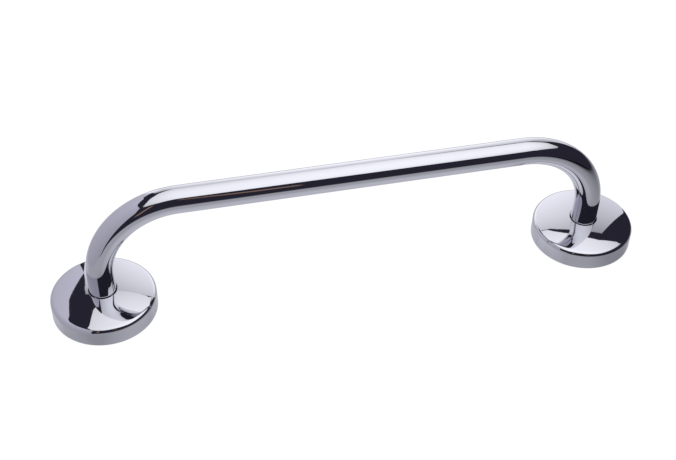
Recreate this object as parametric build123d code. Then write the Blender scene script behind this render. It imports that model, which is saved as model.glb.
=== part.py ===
from build123d import *
import math
import os

# A wall-mounted towel rail. One tube is bent into a shallow U, a fixing flange is welded to each
# end of it, and a pressed cover slides down each leg to hide the flange and its screws.
#
# Millimetres. The wall is the plane Z = 0 and +Z points out of it. The bar runs along X, and the
# origin lies on the wall, midway between the two legs.

# Tube
tube_diameter = 16.0
tube_wall = 1.2
leg_spacing = 300.0  # centre line to centre line
bar_standoff = 76.0  # from the wall to the bar's centre line
bend_radius = 48.0  # of the centre line

# Fixing flange
flange_thickness = 3.0
flange_edge_chamfer = 0.5
socket_clearance = 0.05  # round the tube's end, before it is welded
screw_count = 3
screw_circle = 40.0
screw_hole_diameter = 5.5
screw_hole_chamfer = 0.4

# Weld between tube and flange
weld_leg = 2.5
weld_belly = 0.6  # how far the bead stands out of the corner, as a share of its leg; 0.5 is flat

# Cover
cover_diameter = 62.0
cover_wall = 1.0
crown_radius = 120.0  # of the domed face, outside
crown_height = 15.4  # from the wall to the mouth of the bore
edge_radius = 3.0  # outside, where the crown rolls over into the straight rim
rim_lip_radius = 0.3
bore_lip_radius = 0.4
tube_clearance = 0.4  # round the tube where it passes through the cover
flange_clearance = 0.15  # round the flange inside the rim

# Sizes that follow from the ones above
tube_radius = tube_diameter / 2
tube_bore_radius = tube_radius - tube_wall
leg_x = leg_spacing / 2
cover_radius = cover_diameter / 2
cover_inner_radius = cover_radius - cover_wall
cover_bore_radius = tube_radius + tube_clearance
flange_radius = cover_inner_radius - flange_clearance
crown_centre_z = crown_height - math.sqrt(crown_radius**2 - cover_bore_radius**2)


def rail_tube():
    """The tube, wall to wall in one length, with two equal bends."""
    centre_line = FilletPolyline(
        (-leg_x, 0, 0),
        (-leg_x, 0, bar_standoff),
        (leg_x, 0, bar_standoff),
        (leg_x, 0, 0),
        radius=bend_radius,
    )
    start = Plane(origin=centre_line @ 0, z_dir=centre_line % 0)
    section = start * (Circle(tube_radius) - Circle(tube_bore_radius))
    return sweep(section, path=centre_line)


def fixing_flange():
    """A steel disc with a socket for the tube's end and screw holes on a circle."""
    disc = Cylinder(flange_radius, flange_thickness, align=(Align.CENTER, Align.CENTER, Align.MIN))
    disc = chamfer(disc.edges().filter_by(GeomType.CIRCLE), flange_edge_chamfer)
    cut_depth = 3 * flange_thickness  # centred on the wall plane, so it passes right through
    disc -= Cylinder(tube_radius + socket_clearance, cut_depth)
    for place in PolarLocations(screw_circle / 2, screw_count, start_angle=90):
        disc -= place * Cylinder(screw_hole_diameter / 2, cut_depth)
    mouths = disc.faces().sort_by(Axis.Z)[-1].inner_wires()
    screw_mouths = [wire.edge() for wire in mouths if wire.edge().radius < tube_radius]
    return chamfer(screw_mouths, screw_hole_chamfer)


def weld_bead():
    """The fillet weld in the corner between the tube and the flange."""
    foot = (tube_radius, flange_thickness)
    toe = (tube_radius + weld_leg, flange_thickness)
    top = (tube_radius, flange_thickness + weld_leg)
    belly = (tube_radius + weld_belly * weld_leg, flange_thickness + weld_belly * weld_leg)
    section = make_face([Line(foot, toe), ThreePointArc(toe, belly, top), Line(top, foot)])
    return revolve(Plane.XZ * section, Axis.Z)


def crown_arc(sphere_radius, outer, inner):
    """The section of a sphere about the crown's centre, between two distances from the leg's axis."""
    distances = (outer, (outer + inner) / 2, inner)
    heights = (crown_centre_z + math.sqrt(sphere_radius**2 - distance**2) for distance in distances)
    return ThreePointArc(*zip(distances, heights))


def cover():
    """The pressed cover: a straight rim, a domed crown of even wall and a bore for the tube."""
    outside = crown_arc(crown_radius, cover_radius, cover_bore_radius)
    inside = crown_arc(crown_radius - cover_wall, cover_inner_radius, cover_bore_radius)
    section = make_face(
        [
            Line((cover_radius, 0), outside @ 0),
            outside,
            Line(outside @ 1, inside @ 1),
            inside,
            Line(inside @ 0, (cover_inner_radius, 0)),
            Line((cover_inner_radius, 0), (cover_radius, 0)),
        ]
    )
    rounds = [
        (outside @ 0, edge_radius),
        (inside @ 0, edge_radius - cover_wall),
        (outside @ 1, bore_lip_radius),
        (inside @ 1, bore_lip_radius),
        ((cover_radius, 0), rim_lip_radius),
        ((cover_inner_radius, 0), rim_lip_radius),
    ]
    for corner, radius in rounds:
        section = fillet(section.vertices().sort_by_distance(corner)[0], radius)
    return revolve(Plane.XZ * section, Axis.Z)


pieces = {"rail_tube": rail_tube()}
for side, x in (("left", -leg_x), ("right", leg_x)):
    pieces[f"{side}_fixing_flange"] = Pos(X=x) * fixing_flange()
    pieces[f"{side}_weld_bead"] = Pos(X=x) * weld_bead()
    pieces[f"{side}_cover"] = Pos(X=x) * cover()

os.makedirs("parts", exist_ok=True)
for name, piece in pieces.items():
    export_step(piece, f"parts/{name}.step")

straight_leg = bar_standoff - bend_radius
print("cover travel up the straight leg:", round(straight_leg - crown_height, 3))
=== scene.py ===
import math
import bpy
from mathutils import Matrix, Vector


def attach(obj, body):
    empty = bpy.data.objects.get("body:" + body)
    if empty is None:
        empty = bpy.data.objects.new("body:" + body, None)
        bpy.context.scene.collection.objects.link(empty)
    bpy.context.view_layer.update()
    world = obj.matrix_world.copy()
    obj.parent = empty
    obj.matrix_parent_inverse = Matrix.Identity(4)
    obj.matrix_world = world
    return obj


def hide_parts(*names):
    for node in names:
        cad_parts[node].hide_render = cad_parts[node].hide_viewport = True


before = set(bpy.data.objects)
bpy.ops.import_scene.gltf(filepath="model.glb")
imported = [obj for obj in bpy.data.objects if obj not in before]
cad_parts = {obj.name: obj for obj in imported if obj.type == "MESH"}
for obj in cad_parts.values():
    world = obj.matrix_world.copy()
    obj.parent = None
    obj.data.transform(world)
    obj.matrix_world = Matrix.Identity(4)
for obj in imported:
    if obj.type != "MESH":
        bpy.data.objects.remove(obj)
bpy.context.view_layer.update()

mm = 0.001
legX = 150 * mm  # from the middle to each leg's axis


class Wire:  # one socket of a node tree, with operators that add Math nodes
    def __init__(self, tree, socket):
        self.tree = tree
        self.socket = socket

    def node(self, kind, settings=None, inputs=None, output=0):
        made = self.tree.nodes.new(kind)
        for key, value in (settings or {}).items():
            setattr(made, key, value)
        for key, value in (inputs or {}).items():
            if isinstance(value, Wire):
                self.tree.links.new(value.socket, made.inputs[key])
            else:
                made.inputs[key].default_value = value
        return Wire(self.tree, made.outputs[output])

    def math(self, operation, first, second=0.0):
        return self.node("ShaderNodeMath", {"operation": operation}, {0: first, 1: second})

    def vector(self, operation, first, second, output=0):
        return self.node("ShaderNodeVectorMath", {"operation": operation}, {0: first, 1: second}, output)

    def axis(self, letter):
        return self.node("ShaderNodeSeparateXYZ", {}, {0: self}, letter)

    def atLeast(self, least):
        return self.math("MAXIMUM", self, least)

    def __add__(self, other):
        return self.math("ADD", self, other)

    def __sub__(self, other):
        return self.math("SUBTRACT", self, other)

    def __rsub__(self, other):
        return self.math("SUBTRACT", other, self)

    def __mul__(self, other):
        return self.math("MULTIPLY", self, other)

    __radd__ = __add__
    __rmul__ = __mul__


# Materials

mixFirst, mixSecond, mixResult = 6, 7, 2  # the colour sockets of the Mix node


def newMaterial(name):
    material = bpy.data.materials.new(name)
    material.use_nodes = True
    tree = material.node_tree
    shader = tree.nodes["Principled BSDF"]
    return material, tree, shader


def objectPlace(tree):
    node = tree.nodes.new("ShaderNodeTexCoord")
    return Wire(tree, node.outputs["Object"])


def legDistance(place):  # how far a point lies from the axis of the nearer leg
    x = place.axis("X")
    y = place.axis("Y")
    across = place.math("ABSOLUTE", x) - legX
    return place.math("SQRT", across * across + y * y)


def noise(place, scale, detail):
    return place.node("ShaderNodeTexNoise", {}, {"Vector": place, "Scale": scale, "Detail": detail})


def attribute(place, name):
    return place.node("ShaderNodeAttribute", {"attribute_name": name}, {}, "Fac")


def mixColours(factor, first, second):
    return factor.node(
        "ShaderNodeMix", {"data_type": "RGBA"},
        {"Factor": factor, mixFirst: first, mixSecond: second}, mixResult,
    )


def paintMetal(tree, shader, colour, roughness):
    shader.inputs["Metallic"].default_value = 1.0
    tree.links.new(colour.socket, shader.inputs["Base Color"])
    tree.links.new(roughness.socket, shader.inputs["Roughness"])


chromeLook = dict(
    colour=(0.645, 0.648, 0.69, 1.0),
    roughness=0.018,
    smudge=0.03,
    smudgeScale=45.0,
    smudgeDetail=4.0,
    insideColour=(0.42, 0.42, 0.43, 1.0),
    insideRoughness=0.26,
    drawMarks=0.2,
    drawScale=2600.0,
    drawDetail=2.0,
)


def makeChrome(look):
    material, tree, shader = newMaterial("bright_chrome")
    place = objectPlace(tree)
    smudge = noise(place, look["smudgeScale"], look["smudgeDetail"])
    inside = attribute(place, "inside")
    marks = place.node(  # rings left inside a cover by the drawing die
        "ShaderNodeTexNoise", {"noise_dimensions": "1D"},
        {"W": legDistance(place), "Scale": look["drawScale"], "Detail": look["drawDetail"]},
    )
    polished = smudge * look["smudge"] + look["roughness"]
    drawn = marks * look["drawMarks"] + look["insideRoughness"]
    roughness = polished + inside * (drawn - polished)
    colour = mixColours(inside, look["colour"], look["insideColour"])
    paintMetal(tree, shader, colour, roughness)
    return material


steelLook = dict(
    colour=(0.5, 0.5, 0.52, 1.0),
    burntColour=(0.34, 0.31, 0.28, 1.0),  # where the weld's heat took the plating
    burntTo=10.0 * mm,
    platedFrom=16.0 * mm,
    roughness=0.26,
    burntRoughness=0.1,
    grain=0.2,
    grainScale=900.0,
    grainDetail=6.0,
    grainStretch=(0.05, 1.0, 1.0),
    bump=0.06,
    bumpDepth=0.1 * mm,
)


def makeSteel(look):  # rolled sheet, plated but never polished
    material, tree, shader = newMaterial("plated_steel")
    place = objectPlace(tree)
    stretched = place.node(
        "ShaderNodeMapping", {}, {"Vector": place, "Scale": look["grainStretch"]}
    )
    grain = noise(stretched, look["grainScale"], look["grainDetail"])
    plated = place.node(
        "ShaderNodeMapRange", {"interpolation_type": "SMOOTHSTEP"},
        {"Value": legDistance(place), "From Min": look["burntTo"], "From Max": look["platedFrom"]},
    )
    colour = mixColours(plated, look["burntColour"], look["colour"])
    roughness = grain * look["grain"] + (1 - plated) * look["burntRoughness"] + look["roughness"]
    relief = place.node(
        "ShaderNodeBump", {},
        {"Height": grain, "Strength": look["bump"], "Distance": look["bumpDepth"]},
    )
    paintMetal(tree, shader, colour, roughness)
    tree.links.new(relief.socket, shader.inputs["Normal"])
    return material


weldLook = dict(
    crest=(0.46, 0.45, 0.44, 1.0),
    valley=(0.27, 0.25, 0.23, 1.0),
    roughness=0.34,
    spatter=0.2,
    spatterScale=1500.0,
    spatterDetail=3.0,
)


def makeWeldMetal(look):
    material, tree, shader = newMaterial("weld_metal")
    place = objectPlace(tree)
    colour = mixColours(attribute(place, "ripple"), look["valley"], look["crest"])
    spatter = noise(place, look["spatterScale"], look["spatterDetail"])
    paintMetal(tree, shader, colour, spatter * look["spatter"] + look["roughness"])
    return material


chrome = makeChrome(chromeLook)
steel = makeSteel(steelLook)
weldMetal = makeWeldMetal(weldLook)
print("materials made")


# Geometry Nodes

def newTree(name, sockets):
    tree = bpy.data.node_groups.new(name, "GeometryNodeTree")
    tree.interface.new_socket("Geometry", in_out="INPUT", socket_type="NodeSocketGeometry")
    tree.interface.new_socket("Geometry", in_out="OUTPUT", socket_type="NodeSocketGeometry")
    for label, kind in sockets.items():
        tree.interface.new_socket(label, in_out="INPUT", socket_type="NodeSocket" + kind)
    entry = tree.nodes.new("NodeGroupInput")
    wires = {socket.name: Wire(tree, socket) for socket in entry.outputs if socket.name}
    return tree, wires


def closeTree(tree, result, material):
    smooth = result.node("GeometryNodeSetShadeSmooth", {}, {"Geometry": result})
    realized = smooth.node("GeometryNodeRealizeInstances", {}, {"Geometry": smooth})
    painted = realized.node(
        "GeometryNodeSetMaterial", {}, {"Geometry": realized, "Material": material}
    )
    leave = tree.nodes.new("NodeGroupOutput")
    tree.links.new(painted.socket, leave.inputs[0])


def storeFloat(geometry, name, value):
    return geometry.node(
        "GeometryNodeStoreNamedAttribute", {"data_type": "FLOAT", "domain": "POINT"},
        {"Geometry": geometry, "Name": name, "Value": value},
    )


def circle(around, radius):
    return around.node(
        "GeometryNodeCurvePrimitiveCircle", {}, {"Resolution": around, "Radius": radius}
    )


def sweep(path, profile):
    return path.node("GeometryNodeCurveToMesh", {}, {"Curve": path, "Profile Curve": profile})


def moveTo(geometry, place):
    return geometry.node("GeometryNodeTransform", {}, {"Geometry": geometry, "Translation": place})


def polyCurve(name, points, closed=False):  # each point is x, y, z and the rounding of its corner
    data = bpy.data.curves.new(name, "CURVE")
    data.dimensions = "3D"
    spline = data.splines.new("POLY")
    spline.points.add(len(points) - 1)
    for knot, (x, y, z, rounding) in zip(spline.points, points):
        knot.co = (x, y, z, 1.0)
        knot.radius = rounding
    spline.use_cyclic_u = closed
    carrier = bpy.data.objects.new(name, data)
    bpy.context.scene.collection.objects.link(carrier)
    return carrier


def runTree(carrier, tree, values, name):  # the tree's result as a plain mesh
    modifier = carrier.modifiers.new("shape", "NODES")
    modifier.node_group = tree
    for item in tree.interface.items_tree:
        if item.in_out == "INPUT" and item.name in values:
            modifier[item.identifier] = values[item.name]
    depsgraph = bpy.context.evaluated_depsgraph_get()
    mesh = bpy.data.meshes.new_from_object(carrier.evaluated_get(depsgraph), depsgraph=depsgraph)
    carrier.modifiers.remove(modifier)
    data = carrier.data
    bpy.data.objects.remove(carrier)
    bpy.data.curves.remove(data)
    mesh.name = name
    piece = bpy.data.objects.new(name, mesh)
    bpy.context.scene.collection.objects.link(piece)
    return piece


# Bent tube

tube = dict(
    diameter=16 * mm, wall=1.2 * mm, standoff=76 * mm, bendRadius=48 * mm,
    bendSteps=64, around=96, ringStep=1.5 * mm,
    bevelWidth=0.25 * mm, bevelSegments=2, bevelAngle=50,  # at the cut ends
)


def makeTubeTree():
    tree, enter = newTree("bentTube", {
        "Bend Radius": "Float", "Bend Steps": "Int", "Ring Step": "Float",
        "Diameter": "Float", "Around": "Int", "Material": "Material",
    })
    line = enter["Geometry"]
    bent = line.node(
        "GeometryNodeFilletCurve", {"mode": "POLY"},
        {"Curve": line, "Count": enter["Bend Steps"], "Radius": enter["Bend Radius"]},
    )
    even = line.node(
        "GeometryNodeResampleCurve", {"mode": "LENGTH"},
        {"Curve": bent, "Length": enter["Ring Step"]},
    )
    skin = sweep(even, circle(enter["Around"], enter["Diameter"] * 0.5))
    closeTree(tree, skin, enter["Material"])
    return tree


linePoints = [
    (-legX, 0, 0, 1),
    (-legX, 0, tube["standoff"], 1),
    (legX, 0, tube["standoff"], 1),
    (legX, 0, 0, 1),
]
railTube = runTree(
    polyCurve("tubeLine", linePoints), makeTubeTree(),
    {
        "Bend Radius": tube["bendRadius"], "Bend Steps": tube["bendSteps"],
        "Ring Step": tube["ringStep"], "Diameter": tube["diameter"], "Around": tube["around"],
        "Material": chrome,
    },
    "rail_tube_bright",
)
wall = railTube.modifiers.new("wall", "SOLIDIFY")
wall.thickness = tube["wall"]
wall.offset = -1.0
endBevel = railTube.modifiers.new("end bevel", "BEVEL")
endBevel.width = tube["bevelWidth"]
endBevel.segments = tube["bevelSegments"]
endBevel.limit_method = "ANGLE"
endBevel.angle_limit = math.radians(tube["bevelAngle"])
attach(railTube, "rail")
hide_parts("rail_tube")
print("bent tube made")


# Pressed covers

cover = dict(
    diameter=62 * mm, wall=1.0 * mm, crownRadius=120 * mm, crownHeight=15.4 * mm,
    edgeRadius=3.0 * mm, rimLip=0.3 * mm, boreRadius=8.4 * mm, boreLip=0.4 * mm,
    lipRoom=1.3,  # how far the crown's points keep from the bore, in lips
    around=192, roundSteps=14, crownSteps=40, mergeWithin=0.002 * mm,
)


def makeCoverTree():
    tree, enter = newTree("pressedCover", {
        "Leg": "Vector", "Round Steps": "Int", "Around": "Int", "Sweep Radius": "Float",
        "First Inside": "Int", "Merge Within": "Float", "Material": "Material",
    })
    section = enter["Geometry"]
    index = section.node("GeometryNodeInputIndex")
    isInside = section.math("GREATER_THAN", index, enter["First Inside"] - 1)
    tagged = storeFloat(section, "inside", isInside)
    rounding = section.node("GeometryNodeInputRadius")
    steps = section.math("GREATER_THAN", rounding, 0.0) * (enter["Round Steps"] - 1) + 1
    rounded = section.node(
        "GeometryNodeFilletCurve", {"mode": "POLY"},
        {"Curve": tagged, "Count": steps, "Radius": rounding},
    )
    skin = sweep(circle(enter["Around"], enter["Sweep Radius"]), rounded)
    turned = section.node("GeometryNodeFlipFaces", {}, {"Mesh": skin})
    merged = section.node(
        "GeometryNodeMergeByDistance", {}, {"Geometry": turned, "Distance": enter["Merge Within"]}
    )
    closeTree(tree, moveTo(merged, enter["Leg"]), enter["Material"])
    return tree


def crownArc(centreZ, radius, start, end, steps):
    distances = [start + (end - start) * i / steps for i in range(steps + 1)]
    return [(d, centreZ + math.sqrt(radius**2 - d**2), 0) for d in distances]


def coverSection(size):  # distance from the leg's axis, height above the wall, rounding
    outer = size["diameter"] / 2
    inner = outer - size["wall"]
    bore = size["boreRadius"]
    domeOut = size["crownRadius"]
    domeIn = domeOut - size["wall"]
    edgeOut = size["edgeRadius"]
    edgeIn = edgeOut - size["wall"]
    centreZ = size["crownHeight"] - math.sqrt(domeOut**2 - bore**2)
    topOut = centreZ + math.sqrt(domeOut**2 - outer**2)
    topIn = centreZ + math.sqrt(domeIn**2 - inner**2)
    clear = size["lipRoom"] * size["boreLip"]
    outside = [(outer, 0, size["rimLip"]), (outer, topOut - edgeOut, 0), (outer, topOut, edgeOut)]
    outside += crownArc(centreZ, domeOut, outer - edgeOut, bore + clear, size["crownSteps"])
    outside += [(bore, size["crownHeight"], size["boreLip"])]
    inside = [(bore, centreZ + math.sqrt(domeIn**2 - bore**2), size["boreLip"])]
    inside += crownArc(centreZ, domeIn, bore + clear, inner - edgeIn, size["crownSteps"])
    inside += [(inner, topIn, edgeIn), (inner, topIn - edgeIn, 0), (inner, 0, size["rimLip"])]
    return outside, inside


coverTree = makeCoverTree()
outside, inside = coverSection(cover)
for side, x in (("left", -legX), ("right", legX)):
    points = [(r - cover["diameter"] / 2, -z, 0, rounding) for r, z, rounding in outside + inside]
    made = runTree(
        polyCurve("coverSection", points, closed=True), coverTree,
        {
            "Leg": (x, 0, 0), "Round Steps": cover["roundSteps"], "Around": cover["around"],
            "Sweep Radius": cover["diameter"] / 2, "First Inside": len(outside),
            "Merge Within": cover["mergeWithin"], "Material": chrome,
        },
        side + "_cover_bright",
    )
    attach(made, side + "_cover")
    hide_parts(side + "_cover")
print("covers made")

for name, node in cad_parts.items():
    if name.endswith("flange"):
        node.data.materials.clear()
        node.data.materials.append(steel)


# Weld beads

weld = dict(
    tubeRadius=8 * mm, seat=3 * mm, leg=2.5 * mm, belly=0.6, flatBelly=0.5, arcSteps=14, around=528,
    ripples=44, rippleHeight=0.16 * mm, rippleLevel=0.6, crescent=2.6, unrest=1.1, unrestScale=220.0,
)


def makeWeldTree():
    tree, enter = newTree("rippledWeld", {
        "Leg": "Vector", "Around": "Int", "Sweep Radius": "Float", "Arc Steps": "Int",
        "Ripples": "Int", "Ripple Height": "Float", "Ripple Level": "Float", "Crescent": "Float",
        "Unrest": "Float", "Unrest Scale": "Float", "Material": "Material",
    })
    section = enter["Geometry"]
    index = section.node("GeometryNodeInputIndex")
    step = section.math("DIVIDE", 2.0, enter["Arc Steps"])
    across = (index - 1) * step - 1  # from the toe, -1, to the top, 1
    tagged = storeFloat(section, "across", across)
    skin = sweep(circle(enter["Around"], enter["Sweep Radius"]), tagged)
    turned = section.node("GeometryNodeFlipFaces", {}, {"Mesh": skin})
    place = section.node("GeometryNodeInputPosition")
    kept = section.node(
        "GeometryNodeInputNamedAttribute", {"data_type": "FLOAT"}, {"Name": "across"}
    )
    unrest = section.node(
        "ShaderNodeTexNoise", {}, {"Vector": place, "Scale": enter["Unrest Scale"]}
    )
    turn = section.math("ARCTAN2", place.axis("Y"), place.axis("X")) * enter["Ripples"]
    swing = kept * kept * enter["Crescent"] + unrest * enter["Unrest"]
    ripple = section.math("ABSOLUTE", section.math("SINE", (turn + swing) * 0.5))
    onArc = (1 - kept * kept).atLeast(0.0)
    normal = section.node("GeometryNodeInputNormal")
    lift = section.node(
        "ShaderNodeVectorMath", {"operation": "SCALE"},
        {0: normal, "Scale": (ripple - enter["Ripple Level"]) * onArc * enter["Ripple Height"]},
    )
    rippled = section.node(
        "GeometryNodeSetPosition", {},
        {"Geometry": storeFloat(turned, "ripple", ripple), "Offset": lift},
    )
    closeTree(tree, moveTo(rippled, enter["Leg"]), enter["Material"])
    return tree


def weldSection(size):  # the corner, then the arc from its toe on the flange to its top on the tube
    low = Vector((size["tubeRadius"] + size["leg"], size["seat"]))
    high = Vector((size["tubeRadius"], size["seat"] + size["leg"]))
    half = (high - low).length / 2
    rise = (size["belly"] - size["flatBelly"]) * size["leg"] * math.sqrt(2)
    radius = (half**2 + rise**2) / (2 * rise)
    outward = Vector((1, 1)).normalized()
    centre = (low + high) / 2 - outward * (radius - rise)
    reach = math.asin(half / radius)
    points = [(size["tubeRadius"], size["seat"])]
    for i in range(size["arcSteps"] + 1):
        angle = math.pi / 4 + reach * (2 * i / size["arcSteps"] - 1)
        points.append(tuple(centre + radius * Vector((math.cos(angle), math.sin(angle)))))
    return points


weldTree = makeWeldTree()
for side, x in (("left", -legX), ("right", legX)):
    points = [(r - weld["tubeRadius"], -z, 0, 1) for r, z in weldSection(weld)]
    made = runTree(
        polyCurve("weldSection", points, closed=True), weldTree,
        {
            "Leg": (x, 0, 0), "Around": weld["around"], "Sweep Radius": weld["tubeRadius"],
            "Arc Steps": weld["arcSteps"], "Ripples": weld["ripples"],
            "Ripple Height": weld["rippleHeight"], "Ripple Level": weld["rippleLevel"],
            "Crescent": weld["crescent"], "Unrest": weld["unrest"],
            "Unrest Scale": weld["unrestScale"], "Material": weldMetal,
        },
        side + "_weld_rippled",
    )
    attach(made, "rail")
    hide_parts(side + "_weld_bead")
print("weld beads made")


# Studio: the corners of its cards are in millimetres, and what shades them is in metres

zero = (0, 0, 0)


def lightPath(tree, label):
    node = tree.nodes.new("ShaderNodeLightPath")
    return Wire(tree, node.outputs[label])


def mixShaders(factor, first, second):
    return factor.node("ShaderNodeMixShader", {}, {0: factor, 1: first, 2: second})


def fadeTone(card, place):
    fade = card.get("fade", zero)
    tone = place.vector("DOT_PRODUCT", place, fade, "Value") + card["strength"]
    if "bow" in card:  # brightest at one place
        off = place.vector("SUBTRACT", place, card["bowAt"])
        square = place.vector("MULTIPLY", off, off)
        tone = tone * (1 - place.vector("DOT_PRODUCT", square, card["bow"], "Value"))
    return tone.atLeast(0.0)


def emission(name, card, tone):
    material = bpy.data.materials.new(name)
    material.use_nodes = True
    tree = material.node_tree
    tree.nodes.remove(tree.nodes["Principled BSDF"])
    strength = tone(card, objectPlace(tree))
    glow = strength.node("ShaderNodeEmission", {}, {"Color": card["colour"], "Strength": strength})
    if "bounces" in card:  # not shown again in what the legs show of the covers
        depth = lightPath(tree, "Glossy Depth")
        direct = depth.math("LESS_THAN", depth, card["bounces"] + 1)
        glow = mixShaders(direct, depth.node("ShaderNodeBsdfTransparent"), glow)
    tree.links.new(glow.socket, tree.nodes["Material Output"].inputs["Surface"])
    return material


def stageMesh(name, corners, faces, material):
    mesh = bpy.data.meshes.new(name)
    mesh.from_pydata([Vector(corner) * mm for corner in corners], [], faces)
    mesh.materials.append(material)
    made = bpy.data.objects.new(name, mesh)
    bpy.context.scene.collection.objects.link(made)
    return made


cards = {
    "overhead": dict(  # a softbox lying above the rail
        height=450,
        plan=[
            (-232, -415), (-70, -372), (310, -520), (430, -480), (480, -390), (545, -275),
            (660, -100), (655, 20), (545, 95), (480, 176), (363, 176), (307, 198), (231, 246),
            (207, 259), (183, 278), (164, 295), (151, 312), (136, 330), (110, 332), (75, 328),
            (60, 342), (-95, 390), (-215, 235), (-240, 136), (-280, 48), (-300, -28),
            (-322, -105), (-350, -180), (-385, -275), (-365, -345),
        ],
        colour=(1, 1, 1.03, 1), strength=1.385, bowAt=(0.1, -0.11, 0.45), bow=(1.8, 1.3, 0),
    ),
    "back": dict(  # a white sheet standing behind the rail, glowing with painted light that is brighter near the floor
        plan=[
            (-155, 400), (-15, 368), (67, 348), (155, 338), (191, 318), (254, 290), (300, 269),
        ],
        base=45, heights=[460, 457, 455, 457, 464, 464, 460],
        colour=(1, 1, 1.05, 1), strength=1.54, fade=(0.22, 0, -1.65),
        bowAt=(0.07, 0, 0), bow=(5, 0, 0),
    ),
    "backWing": dict(  # its left edge, cut on a slant, with the same painted glow, brighter near the floor
        corners=[
            (-155, 400, 45), (-155, 400, 460), (-254, 422, 470), (-243, 420, 390), (-231, 417, 340),
            (-224, 416, 300), (-214, 414, 217), (-207, 412, 179), (-200, 411, 140), (-196, 410, 45),
        ],
        colour=(1, 1, 1.05, 1), strength=1.55, fade=(0, 0, -2.4),
    ),
    "backEnd": dict(  # the end of that sheet, turned away from the light
        plan=[(300, 269), (341, 252), (412, 238)], base=45, heights=[460, 450, 450],
        colour=(1, 1, 1.07, 1), strength=1.08, fade=(0, 0, -1.45),
    ),
    "backFoot": dict(  # the ledge below both, glowing a dim grey with painted light
        plan=[(-226, 419), (155, 340), (412, 240)], base=-100, heights=[45, 45, 45],
        colour=(1, 1, 1.05, 1), strength=0.6,
    ),
    "left": dict(  # a card standing at the left end, its dim grey glow painted light, brighter higher up and farther back
        plan=[
            (-297, -246), (-319, -220), (-348, -197), (-398, 20), (-350, 165), (-329, 233),
            (-305, 320), (-270, 440), (-241, 608),
        ],
        base=-100, heights=[206, 285, 358, 433, 420, 420, 352, 330, 322],
        colour=(1, 0.98, 1.14, 1), strength=0.505, fade=(0, 0.2, 0.38),
    ),
    "pole": dict(  # something brown, far off in the dark room, glowing with painted light
        corners=[
            (125, -1000, 330), (66, -1000, 375), (26, -1000, 462), (5, -1000, 560),
            (-60, -1000, 800), (-60, -1000, 860), (5, -1000, 730), (26, -1000, 645),
            (66, -1000, 545), (135, -1000, 470),
        ],
        colour=(1, 0.62, 0.48, 1), strength=0.29, bounces=1,
    ),
    "post": dict(  # the same, farther to the left
        corners=[
            (-575, -1000, 180), (-495, -1000, 180), (-462, -1000, 740), (-545, -1000, 740),
        ],
        colour=(1, 0.66, 0.5, 1), strength=0.36, bounces=1,
    ),
    "darkRoom": dict(  # a closed box all round the studio, glowing faintly: painted shade for the dark room, which the chrome shows between the cards
        corners=[(x, y, z) for x in (-4000, 4000) for y in (-4000, 4000) for z in (-4000, 4000)],
        faces=[
            (0, 1, 3, 2), (4, 6, 7, 5), (0, 4, 5, 1), (2, 3, 7, 6), (0, 2, 6, 4), (1, 5, 7, 3),
        ],
        colour=(1, 0.94, 1.5, 1), strength=0.026,
    ),
}


def makeCard(name, card, tone=fadeTone):
    if "heights" in card:  # stands upright
        corners = [(x, y, card["base"]) for x, y in card["plan"]]
        corners += [(x, y, z) for (x, y), z in zip(card["plan"], card["heights"])]
        count = len(card["plan"])
        faces = [(i, i + 1, count + i + 1, count + i) for i in range(count - 1)]
    elif "height" in card:  # lies flat
        corners = [(x, y, card["height"]) for x, y in card["plan"]]
        faces = [range(len(corners))]
    else:
        corners = card["corners"]
        faces = card.get("faces", [range(len(corners))])
    material = emission(name + "_light", card, tone)
    stageMesh(name + "_card", corners, faces, material).visible_camera = False


for name, card in cards.items():
    makeCard(name, card)

floor = dict(
    reach=900, drop=0.2, colour=(0.7, 0.7, 0.72, 1), roughness=0.9,
    nearWhite=0.85, farWhite=1.0, nearReach=0.3, farReach=0.7, white=1.12,
    shade=0.2, shadeFrom=0.041, shadeTo=0.024, shadeShift=(0, 0.013, 0),  # mostly in front
)


def makeFloor(size):  # white to the camera; the chrome sees only the shade round each cover
    material, tree, shader = newMaterial("pale_floor")
    shader.inputs["Base Color"].default_value = size["colour"]
    shader.inputs["Roughness"].default_value = size["roughness"]
    shader.inputs["Specular IOR Level"].default_value = 0.0
    isCamera = lightPath(tree, "Is Camera Ray")
    glow = isCamera.node("ShaderNodeEmission", {}, {"Strength": size["white"]})
    place = objectPlace(tree)
    whitening = place.node(  # the shadow lies near the rail, and farther out all is white
        "ShaderNodeMapRange", {},
        {
            "Value": place.vector("LENGTH", place, zero, "Value"),
            "From Min": size["nearReach"], "From Max": size["farReach"],
            "To Min": size["nearWhite"], "To Max": size["farWhite"],
        },
    )
    white = mixShaders(whitening, Wire(tree, shader.outputs[0]), glow)
    shade = place.node(
        "ShaderNodeMapRange", {"interpolation_type": "SMOOTHSTEP"},
        {
            "Value": legDistance(place.vector("ADD", place, size["shadeShift"])),
            "From Min": size["shadeTo"], "From Max": size["shadeFrom"],
            "To Min": size["shade"], "To Max": 0.0,
        },
    )
    clear = isCamera.node("ShaderNodeBsdfTransparent")
    dark = isCamera.node("ShaderNodeEmission", {}, {"Strength": 0.0})
    shaded = mixShaders(shade, clear, dark)
    fromAbove = 1 - isCamera.node("ShaderNodeNewGeometry", {}, {}, "Backfacing")
    mixed = mixShaders(isCamera * fromAbove, shaded, white)
    tree.links.new(mixed.socket, tree.nodes["Material Output"].inputs["Surface"])
    reach = size["reach"]
    plan = [(-reach, -reach), (reach, -reach), (reach, reach), (-reach, reach)]
    stageMesh("floor", [(x, y, -size["drop"]) for x, y in plan], [range(len(plan))], material)


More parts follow.
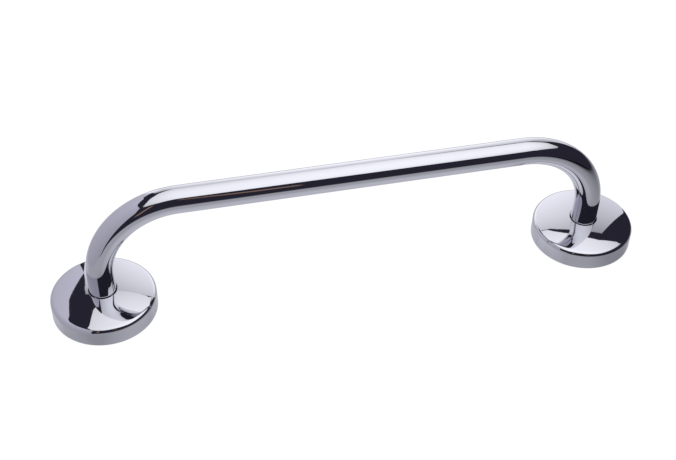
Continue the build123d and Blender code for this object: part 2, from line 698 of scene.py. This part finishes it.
under = dict(  # a grey sheet well below the rail, glowing with painted light: pools of light, fading towards the camera and the right
    height=-400,
    plan=[
        (-3000, -2400), (-1250, -1650), (-1000, -1370), (-800, -1000), (-760, -900), (-690, -790),
        (-640, -700), (-600, -670), (-545, -700), (-530, -750), (-550, -800), (-558, -900),
        (-540, -980), (-470, -1150), (-330, -1450), (-100, -1650), (50, -2100), (2600, -2100),
        (2600, 1400), (-3000, 1400),
    ],
    colour=(1, 1.01, 1.1, 1), plain=0.47,
    lightPools=[(0.1, -0.15, 0.42, 0.2), (-0.33, 0.02, 0.33, 0.17)],  # x, y, size and strength of each painted pool of light
    rightFrom=0.2, rightFade=0.4, rightLeast=0.1,
    frontDark=-2.05, frontLight=-0.95, frontTilt=0.45, tiltFrom=0.4,
    backFrom=0.1, backRise=0.8, backMost=0.12,
)


def underTone(card, place):
    x = place.axis("X")
    y = place.axis("Y")
    plain = card["plain"]
    for poolX, poolY, size, strength in card["lightPools"]:
        across = (x - poolX) * (1 / size)
        along = (y - poolY) * (1 / size)
        plain = plain + (1 - across * across - along * along).atLeast(0.0) * strength
    right = (x - card["rightFrom"]).atLeast(0.0) * card["rightFade"]
    tilted = y - (x - card["tiltFrom"]).atLeast(0.0) * card["frontTilt"]
    front = place.node(
        "ShaderNodeMapRange", {"interpolation_type": "SMOOTHSTEP"},
        {"Value": tilted, "From Min": card["frontDark"], "From Max": card["frontLight"]},
    )
    rise = (y - card["backFrom"]).atLeast(0.0) * card["backRise"]
    back = place.math("MINIMUM", rise, card["backMost"])
    return (plain + back) * (1 - right).atLeast(card["rightLeast"]) * front


makeFloor(floor)
makeCard("under", under, underTone)

room = dict(colour=(1, 1, 1, 1), strength=1.0)


def makeRoom(look):  # white to the camera, and to metal wherever no card or the painted dark-room box hides it
    world = bpy.data.worlds.new("white_room")
    world.use_nodes = True
    bpy.context.scene.world = world
    tree = world.node_tree
    seen = lightPath(tree, "Is Camera Ray")
    for label in ("Is Glossy Ray", "Is Transmission Ray"):
        seen = seen.atLeast(lightPath(tree, label))
    background = tree.nodes["Background"]
    background.inputs["Color"].default_value = look["colour"]
    tree.links.new((seen * look["strength"]).socket, background.inputs["Strength"])


makeRoom(room)
print("studio made")


# Camera

view = dict(
    azimuth=-14.108, elevation=42.801, roll=1.371, distance=725.16 * mm,
    target=(-8.885 * mm, 0, 34.584 * mm), lens=64.88, sensor=36.0, clipStart=10 * mm,
)


def makeCamera(look):
    turn, lift, roll = (math.radians(look[key]) for key in ("azimuth", "elevation", "roll"))
    back = Vector((math.sin(turn) * math.cos(lift), -math.cos(turn) * math.cos(lift), math.sin(lift)))
    level = Vector((0, 0, 1)).cross(back).normalized()
    upright = back.cross(level)
    right = level * math.cos(roll) + upright * math.sin(roll)
    up = upright * math.cos(roll) - level * math.sin(roll)
    data = bpy.data.cameras.new("photo_camera")
    data.sensor_width = look["sensor"]
    data.lens = look["lens"]
    data.clip_start = look["clipStart"]
    made = bpy.data.objects.new("photo_camera", data)
    axes = Matrix((right, up, back)).transposed().to_4x4()
    made.matrix_world = Matrix.Translation(Vector(look["target"]) + back * look["distance"]) @ axes
    bpy.context.scene.collection.objects.link(made)
    bpy.context.scene.camera = made


makeCamera(view)
bpy.context.scene.view_settings.view_transform = "Standard"
print("camera made")
